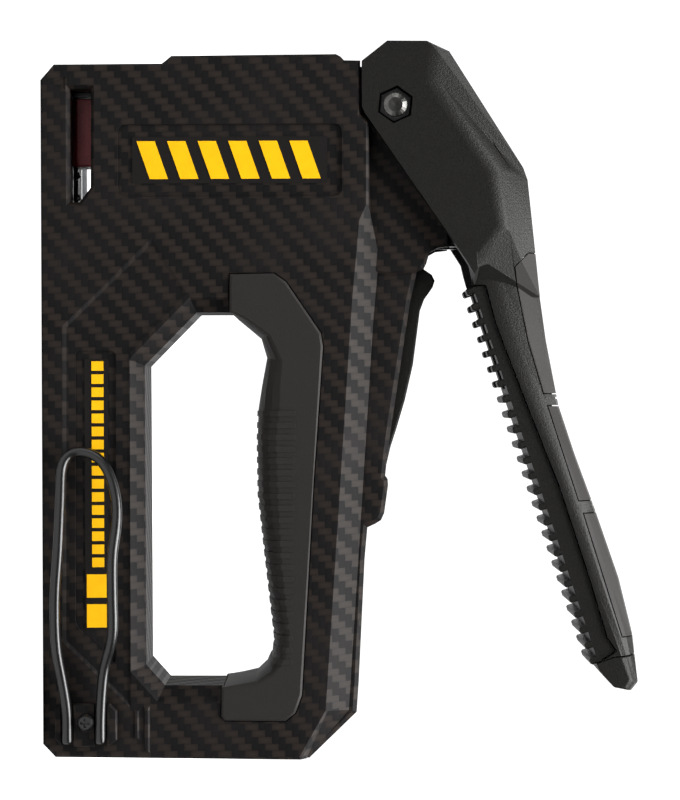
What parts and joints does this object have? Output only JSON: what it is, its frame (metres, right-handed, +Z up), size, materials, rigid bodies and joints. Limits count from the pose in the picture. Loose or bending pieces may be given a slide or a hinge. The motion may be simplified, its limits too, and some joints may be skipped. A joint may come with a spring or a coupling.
{
  "type": "staple gun",
  "caption": "Hand staple gun: two-part body with a rubber-lined hand opening, front-hinged squeeze lever, slide-out magazine with pusher, spring plunger and belt hook.",
  "frame": {"origin": "mid-plane of the tool at the foot of the nose plate, on the work surface", "axes": "+X from the nose to the rear, +Z up from the base to the lever, +Y to the right side"},
  "size_m": [0.1986, 0.0433, 0.1648],
  "materials": {
    "carbon_composite": "moulded twill carbon composite, satin",
    "lever_plastic": "fine spark texture",
    "soft_rubber": "matt overmould",
    "bright_steel": "zinc plated",
    "black_steel": "black oxide, satin",
    "red_plastic": "satin",
    "yellow_print": "satin print"
  },
  "bodies": {
    "body": {"left_shell": "carbon_composite", "right_shell": "carbon_composite", "hand_grip": "soft_rubber", "nose_plate": "bright_steel", "magazine_channel": "bright_steel", "spring_seat": "bright_steel", "main_spring": "black_steel", "bumper": "soft_rubber", "rocker_pin": "bright_steel", "pivot_sleeve": "bright_steel", "lever_spring": "black_steel", "shell_screw_1": "black_steel", "shell_screw_2": "black_steel", "shell_screw_3": "black_steel", "shell_screw_4": "black_steel", "shell_screw_5": "black_steel", "belt_hook": "black_steel", "hook_plate": "black_steel", "hook_screw": "black_steel", "badge_left": "yellow_print", "badge_right": "yellow_print", "label_left": "yellow_print", "label_right": "yellow_print"},
    "lever": {"lever_body": "lever_plastic", "lever_pad_front": "soft_rubber", "lever_pad_middle": "soft_rubber", "lever_pad_rear": "soft_rubber", "lever_end_cap": "lever_plastic", "tooth_strip": "soft_rubber", "pivot_nut": "black_steel", "pivot_bolt": "black_steel", "lever_fork": "bright_steel", "roller_pin": "bright_steel", "drive_roller": "bright_steel"},
    "rocker": {"rocker": "black_steel"},
    "plunger": {"plunger": "bright_steel", "plunger_nut": "black_steel", "striker_blade": "bright_steel"},
    "magazine": {"magazine_rail": "bright_steel", "magazine_latch": "carbon_composite", "guide_rod": "bright_steel", "guide_bar": "bright_steel", "pusher_spring": "black_steel"},
    "pusher": {"pusher": "red_plastic"}
  },
  "joints": [
    {"name": "lever_hinge", "type": "hinge", "parent": "body", "child": "lever", "pos_m": [0.0058, 0, 0.0976], "axis": [0, 1, 0], "range_deg": [0, 13], "stiffness_Nm_per_rad": 0.8, "springref_deg": -20.05},
    {"name": "rocker_hinge", "type": "hinge", "parent": "body", "child": "rocker", "pos_m": [0.0454, 0, 0.0818], "axis": [0, 1, 0], "range_deg": [0, 18.9]},
    {"name": "plunger_slide", "type": "slide", "parent": "body", "child": "plunger", "axis": [0, 0, 1], "range_m": [0, 0.0123], "stiffness_N_per_m": 600, "springref_m": -0.006, "deforming": ["main_spring"]},
    {"name": "magazine_slide", "type": "slide", "parent": "body", "child": "magazine", "axis": [1, 0, 0], "range_m": [0, 0.11]},
    {"name": "pusher_slide", "type": "slide", "parent": "magazine", "child": "pusher", "axis": [1, 0, 0], "range_m": [0, 0.09], "stiffness_N_per_m": 40, "springref_m": -0.03, "deforming": ["pusher_spring"]}
  ],
  "couplings": [
    {"joint": "rocker_hinge", "follows": "lever_hinge", "ratio": 1.45},
    {"joint": "plunger_slide", "follows": "lever_hinge", "m_per_rad": 0.0537}
  ]
}
